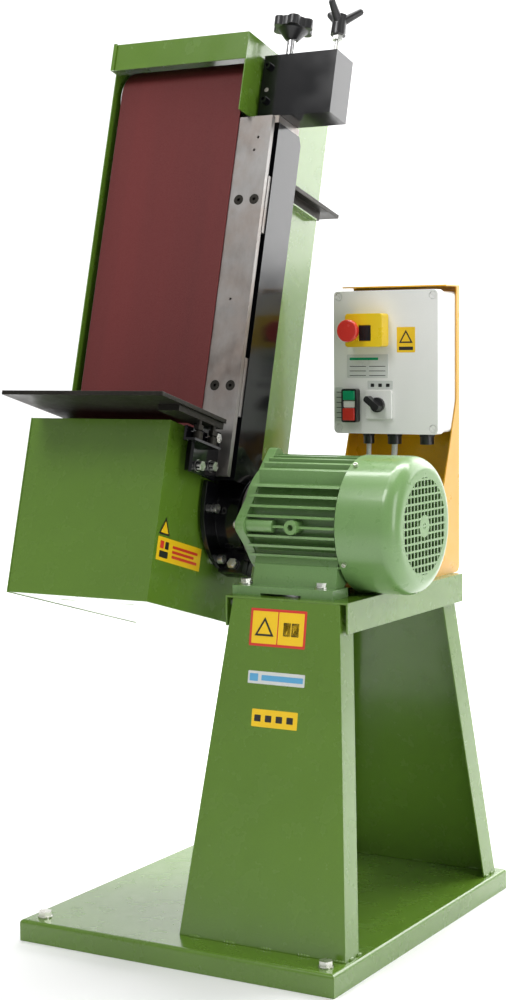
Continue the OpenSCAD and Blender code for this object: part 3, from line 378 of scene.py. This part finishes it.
# How far each node's edges are rounded, in millimetres
BEVELS = {
    "base_pan": 0.9, "pedestal_panels": 1.1, "pedestal_top": 1.4, "control_bracket": 0.8,
    "enclosure_base": 1.2, "enclosure_lid": 1.0, "estop_housing": 1.2, "estop_button": 2.6,
    "button_frame": 0.8, "start_button": 1.2, "stop_button": 1.2, "selector_switch": 0.7,
    "selector_knob": 1.4, "terminal_box": 1.8, "terminal_lid": 1.2, "motor_frame": 1.0,
    "end_shield_drive": 2.2, "end_shield_fan": 1.5, "pivot_spigot": 0.8, "arm_plate": 1.0,
    "beam": 1.0, "guard_box": 0.5, "guard_channel": 0.5, "side_door": 0.5, "platen": 0.7,
    "platen_spacers": 0.6, "rear_rest": 0.7, "table_bracket": 0.7, "work_table": 0.8,
    "table_angle": 0.7, "head_box": 1.3, "slide_tube": 0.6, "star_knob": 3.0,
    "tracking_knob": 0.5, "idler_roller": 1.2, "wheel_core": 1.0, "floor_bolts": 0.6,
    "motor_bolts": 0.5, "arm_bolts": 0.5, "lid_screws": 0.35, "cable_glands": 0.7,
    "tracking_stud": 0.4, "tension_rod": 0.5, "platen_screws": 0.3, "door_hinges": 0.4,
    "idler_axle": 0.6, "belt": 0.2, "fan_cowl": 0.35, "motor_lead_a": 0.05, "motor_lead_b": 0.05,
}

for node, width in BEVELS.items():
    refine(node, width, 3 if width >= 2 else 2)


# ---------- small made pieces ----------

def plate(name, corner, across, up, thick, material, body, radius=2.0):
    """A thin plate with rounded corners: corner, two edge vectors, and a thickness in mm."""
    normal = across.cross(up).normalized()
    wide, tall = across.length, up.length
    a, b = across.normalized(), up.normalized()
    r = min(radius * MM, wide / 3, tall / 3)
    outline = []
    steps = 5
    corners = [(wide - r, r, -90), (wide - r, tall - r, 0), (r, tall - r, 90), (r, r, 180)]
    for cx, cy, start in corners:
        for k in range(steps + 1):
            angle = math.radians(start + 90 * k / steps)
            outline.append(corner + a * (cx + r * math.cos(angle)) + b * (cy + r * math.sin(angle)))
    polygon_plate(name, outline, normal * thick * MM, material, body)


def polygon_plate(name, points, lift, material, body):
    """A thin plate over a flat outline, raised along lift."""
    bm = bmesh.new()
    face = bm.faces.new([bm.verts.new(p) for p in points])
    top = bmesh.ops.extrude_face_region(bm, geom=[face])
    raised = [v for v in top["geom"] if isinstance(v, bmesh.types.BMVert)]
    bmesh.ops.translate(bm, verts=raised, vec=lift)
    bmesh.ops.recalc_face_normals(bm, faces=bm.faces)
    finish_mesh(bm, name, material, body)


def ring_of_points(centre, a, b, radius, count, turn=0.0):
    """Points evenly round a circle in the plane of a and b; radius is in metres."""
    return [centre + (a * math.cos(turn + 2 * math.pi * k / count)
                      + b * math.sin(turn + 2 * math.pi * k / count)) * radius for k in range(count)]


def sticker(name, corner, across, up, material, body, marks=()):
    """A label with blank coloured marks on it; each mark is (x0, y0, x1, y1, material) in shares."""
    normal = across.cross(up).normalized()
    plate(name, corner, across, up, 0.25, material, body, 1.5)
    for k, (x0, y0, x1, y1, colour) in enumerate(marks):
        start = corner + across * x0 + up * y0 + normal * 0.25 * MM
        plate(f"{name}_mark_{k}", start, across * (x1 - x0), up * (y1 - y0), 0.12, colour, body,
              1.0)


def triangle(name, centre, a, b, normal, size, body):
    """A blank hazard triangle: black edge, yellow field."""
    layers = [(size, "label_black", 0.38), (size * 0.68, "label_yellow", 0.48)]
    for k, (radius, colour, lift) in enumerate(layers):
        points = [p + normal * 0.2 * MM for p in ring_of_points(centre, a, b, radius * MM, 3, math.pi / 2)]
        polygon_plate(f"{name}_{k}", points, normal * lift * MM, colour, body)


def weld(name, start, end, radius, body):
    """A rippled weld bead between two points."""
    along = (end - start).normalized()
    side = along.orthogonal().normalized()
    other = along.cross(side)
    rings, sides = max(6, int((end - start).length / (1.6 * MM))), 8
    bm = bmesh.new()
    rows = []
    for k in range(rings + 1):
        t = k / rings
        swell = radius * MM * (0.35 + 0.65 * math.sin(math.pi * t) ** 0.3) * (1 + 0.14 * math.sin(k * 2.1))
        rows.append([bm.verts.new(start.lerp(end, t) + (side * math.cos(q) + other * math.sin(q)) * swell)
                     for q in (2 * math.pi * s / sides for s in range(sides))])
    for low, high in zip(rows, rows[1:]):
        for s in range(sides):
            bm.faces.new([low[s], low[(s + 1) % sides], high[(s + 1) % sides], high[s]])
    bm.faces.new(rows[0][::-1])
    bm.faces.new(rows[-1])
    bmesh.ops.recalc_face_normals(bm, faces=bm.faces)
    finish_mesh(bm, name, "green_paint", body)


# Front panel of the pedestal: its outer face leans back as it rises
PANEL_LEAN = math.atan2(89, 539)
PANEL_UP = Vector((0, math.sin(PANEL_LEAN), math.cos(PANEL_LEAN)))
PANEL_OUT = Vector((0, -math.cos(PANEL_LEAN), math.sin(PANEL_LEAN)))
RIGHT = Vector((1, 0, 0))
UP = Vector((0, 0, 1))


def on_panel(x, z):
    """A place on the front panel's outer face, from its x and its height in millimetres."""
    return at(x, -276 + (z - 36) * math.tan(PANEL_LEAN), z)


sticker("safety_label", on_panel(72, 502), RIGHT * 102 * MM, PANEL_UP * 60 * MM, "label_red", "stand",
        [(0.04, 0.07, 0.49, 0.93, "label_yellow"), (0.51, 0.07, 0.96, 0.93, "label_yellow"),
         (0.60, 0.30, 0.73, 0.66, "label_black"), (0.745, 0.30, 0.875, 0.66, "label_black"),
         (0.615, 0.35, 0.72, 0.61, "label_yellow"), (0.755, 0.35, 0.86, 0.61, "label_yellow")])
triangle("safety_mark", on_panel(99, 528) + PANEL_OUT * 0.3 * MM, RIGHT, PANEL_UP, PANEL_OUT, 20, "stand")
sticker("maker_plate", on_panel(75, 443), RIGHT * 103 * MM, PANEL_UP * 20 * MM, "label_silver", "stand",
        [(0.03, 0.2, 0.18, 0.8, "label_blue"), (0.24, 0.28, 0.97, 0.72, "label_blue")])
sticker("care_label", on_panel(87, 376), RIGHT * 83 * MM, PANEL_UP * 28 * MM, "label_yellow", "stand",
        [(0.06 + 0.235 * k, 0.3, 0.2 + 0.235 * k, 0.68, "label_black") for k in range(4)])

# Right wall of the guard
ARM_V = (ARM.to_3x3() @ Vector((0, 1, 0))).normalized()
ARM_W = (ARM.to_3x3() @ Vector((0, 0, 1))).normalized()
sticker("guard_label", on_arm(-52, -209, -105), ARM_V * 134 * MM, ARM_W * 38 * MM, "label_yellow", "arm",
        [(0.06, 0.52, 0.14, 0.84, "label_red"), (0.17, 0.52, 0.25, 0.84, "label_black"),
         (0.06, 0.14, 0.25, 0.42, "label_black"), (0.34, 0.64, 0.92, 0.76, "label_red"),
         (0.34, 0.43, 0.84, 0.55, "label_red"), (0.34, 0.22, 0.92, 0.34, "label_red")])
triangle("guard_mark", on_arm(-52, -193, -54), ARM_V, ARM_W, RIGHT, 19, "arm")

# Face of the switch enclosure
FACE = 188.0


def face_plate(name, x0, z0, x1, z1, thick, material, radius=1.5, out=0.0):
    plate(name, at(x0, FACE - out, z0), RIGHT * (x1 - x0) * MM, UP * (z1 - z0) * MM, thick, material,
          "stand", radius)


face_plate("rating_plate", 51, 922, 131, 963, 0.6, "label_silver")
face_plate("rating_band", 53, 949, 129, 961, 0.2, "label_silver", out=0.6)
for row in range(3):
    for col in range(2):
        face_plate(f"rating_line_{row}{col}", 56 + 38 * col, 925.5 + 8 * row, 88 + 38 * col, 926.6 + 8 * row,
                   0.15, "label_black", out=0.6, radius=0.3)
face_plate("rating_header", 56, 953, 112, 957.5, 0.15, "green_plastic", out=0.8, radius=0.6)
face_plate("voltage_label", 148, 966, 183, 1010, 0.3, "label_yellow")
triangle("voltage_mark", at(165.5, FACE - 0.1, 990), RIGHT, UP, Vector((0, -1, 0)), 15, "stand")
face_plate("voltage_bar", 152, 970, 179, 976, 0.12, "label_black", out=0.3, radius=0.5)
face_plate("button_strip", 27, 845, 42, 905, 0.4, "label_silver")
for k in range(6):
    face_plate(f"button_strip_line_{k}", 29.5, 851 + 9 * k, 39.5, 852.2 + 9 * k, 0.12, "label_black",
               out=0.4, radius=0.3)
face_plate("selector_strip", 91, 902, 140, 917, 0.4, "label_silver")
for k in range(3):
    face_plate(f"selector_mark_{k}", 97 + 15 * k, 906, 104 + 15 * k, 912, 0.12, "label_black", out=0.4,
               radius=1.0)
face_plate("button_lens", 50, 870, 72, 882, 9.0, "lens_white", out=4.0, radius=2.0)

# Ribbed window of the stop switch, in the housing's shallow recess
WINDOW = FACE - 22.0
plate("switch_window", at(87, WINDOW, 987), RIGHT * 22 * MM, UP * 26 * MM, 2.5, "label_black", "stand",
      1.5)
for k in range(7):
    plate(f"switch_rib_{k}", at(88.5 + 2.9 * k, WINDOW - 2.5, 989), RIGHT * 1.5 * MM, UP * 22 * MM, 0.9,
          "black_plastic", "stand", 0.5)


# Zinc bolt heads over the table bracket's bolts
def bolt_head(name, centre, out, radius, height, body):
    """A hexagon head on a round washer, facing along out."""
    a = out.orthogonal().normalized()
    b = out.cross(a)
    polygon_plate(name + "_washer", ring_of_points(centre, a, b, (radius + 1.6) * MM, 24), out * 1.2 * MM,
                  "zinc", body)
    base = centre + out * 1.0 * MM
    polygon_plate(name, ring_of_points(base, a, b, radius * MM, 6), out * height * MM, "zinc", body)


for k, (v, w) in enumerate([(-166, 56), (-127, 63), (-127, 110)]):
    bolt_head(f"bracket_bolt_{k}", on_arm(-22.9, v, w), RIGHT, 8.4, 9.2, "arm")


# Weld beads at the foot of the pedestal
def foot_welds():
    for k, x in enumerate([0, 66, 133, 200, 262]):
        weld(f"weld_front_{k}", at(x, -275, 37), at(x + 22, -275, 37), 3.0, "stand")
    for k, y in enumerate([-262, -236]):
        weld(f"weld_side_front_{k}", at(282.5, y, 37), at(282.5, y + 14, 37), 3.0, "stand")
        weld(f"weld_side_left_{k}", at(-16.5, y, 37), at(-16.5, y + 14, 37), 3.0, "stand")
    for k, y in enumerate([262, 284]):
        weld(f"weld_side_rear_{k}", at(282.5, y, 37), at(282.5, y + 14, 37), 3.0, "stand")
    for k, x in enumerate([10, 120, 230]):
        weld(f"weld_rear_{k}", at(x, 305, 37), at(x + 26, 305, 37), 3.0, "stand")


foot_welds()


# ---------- floor, light and camera ----------

def studio_floor():
    """A pale sweep: floor that curves up far behind the machine."""
    bm = bmesh.new()
    half, front, back, bend, rise = 9.0, -7.0, 5.0, 1.5, 7.0
    profile = [(front, 0.0), (back, 0.0)]
    profile += [(back + bend * math.sin(t), bend * (1 - math.cos(t)))
                for t in (math.radians(a) for a in range(9, 91, 9))]
    profile.append((back + bend, rise))
    rows = [[bm.verts.new((x, y, z)) for x in (-half, half)] for y, z in profile]
    for low, high in zip(rows, rows[1:]):
        bm.faces.new([low[0], low[1], high[1], high[0]])
    mesh = bpy.data.meshes.new("studio_floor")
    bm.to_mesh(mesh)
    bm.free()
    p = Paint("studio_white", (0.86, 0.86, 0.86), 0.55)
    p.color(p.ramp(p.noise(0.8), (0.85, 0.85, 0.85), (0.88, 0.88, 0.88)))
    mesh.materials.append(p.mat)
    for polygon in mesh.polygons:
        polygon.use_smooth = True
    floor = bpy.data.objects.new("studio_floor", mesh)
    bpy.context.scene.collection.objects.link(floor)


def area_light(name, place, target, size, power):
    light = bpy.data.lights.new(name, "AREA")
    light.shape = "RECTANGLE"
    light.size, light.size_y = size
    light.energy = power
    lamp = bpy.data.objects.new(name, light)
    lamp.location = place
    lamp.rotation_euler = (Vector(target) - Vector(place)).to_track_quat("-Z", "Y").to_euler()
    bpy.context.scene.collection.objects.link(lamp)


# Name, place, target, width and height in metres, power in watts
LIGHTS = [
    ("key", (-0.9, -2.8, 4.3), (0, 0, 0.8), (1.6, 1.6), 80),
    ("side", (3.4, -0.8, 1.7), (0, 0, 0.8), (1.2, 2.6), 40),
    ("card", (1.5, 2.8, 2.3), (0.2, 0, 1.3), (2.6, 2.2), 55),
    ("top", (0.0, 0.3, 3.6), (0, 0, 0.6), (2.0, 2.0), 40),
    ("backdrop", (0.0, 2.2, 5.5), (-2.5, 6.5, 0.6), (6.0, 3.0), 700),
]

# The world is white to the camera, and dimmer as a source of light
GLOW, GLOW_IN_VIEW = 0.38, 1.1


def studio():
    studio_floor()
    world = bpy.data.worlds.new("studio")
    world.use_nodes = True
    tree = world.node_tree
    background = tree.nodes["Background"]
    background.inputs["Color"].default_value = (1.0, 1.0, 1.0, 1)
    path = tree.nodes.new("ShaderNodeLightPath")
    level = tree.nodes.new("ShaderNodeMapRange")
    level.inputs["To Min"].default_value = GLOW
    level.inputs["To Max"].default_value = GLOW_IN_VIEW
    tree.links.new(path.outputs["Is Camera Ray"], level.inputs["Value"])
    tree.links.new(level.outputs["Result"], background.inputs["Strength"])
    bpy.context.scene.world = world
    for light in LIGHTS:
        area_light(*light)
    bpy.context.scene.view_settings.view_transform = "Standard"


# The camera's place in millimetres, its turn to the left, downward tilt and roll in degrees, and its lens
EYE = (1585, -2771, 976)
YAW, PITCH, ROLL = 30.27, 4.62, -0.49
LENS, SENSOR = 67.75, 36


def photo_camera():
    """The photographer's place: to the machine's right and front, a little above the switch box."""
    yaw, pitch, roll = math.radians(YAW), math.radians(PITCH), math.radians(ROLL)
    forward = Vector((-math.sin(yaw) * math.cos(pitch), math.cos(yaw) * math.cos(pitch), -math.sin(pitch)))
    level = Vector((math.cos(yaw), math.sin(yaw), 0))
    above = level.cross(forward)
    right = level * math.cos(roll) + above * math.sin(roll)
    top = above * math.cos(roll) - level * math.sin(roll)
    data = bpy.data.cameras.new("camera")
    data.lens = LENS
    data.sensor_width = SENSOR
    camera = bpy.data.objects.new("camera", data)
    turn = Matrix((right, top, -forward)).transposed().to_4x4()
    camera.matrix_world = Matrix.Translation(at(*EYE)) @ turn
    bpy.context.scene.collection.objects.link(camera)
    bpy.context.scene.camera = camera


studio()
photo_camera()
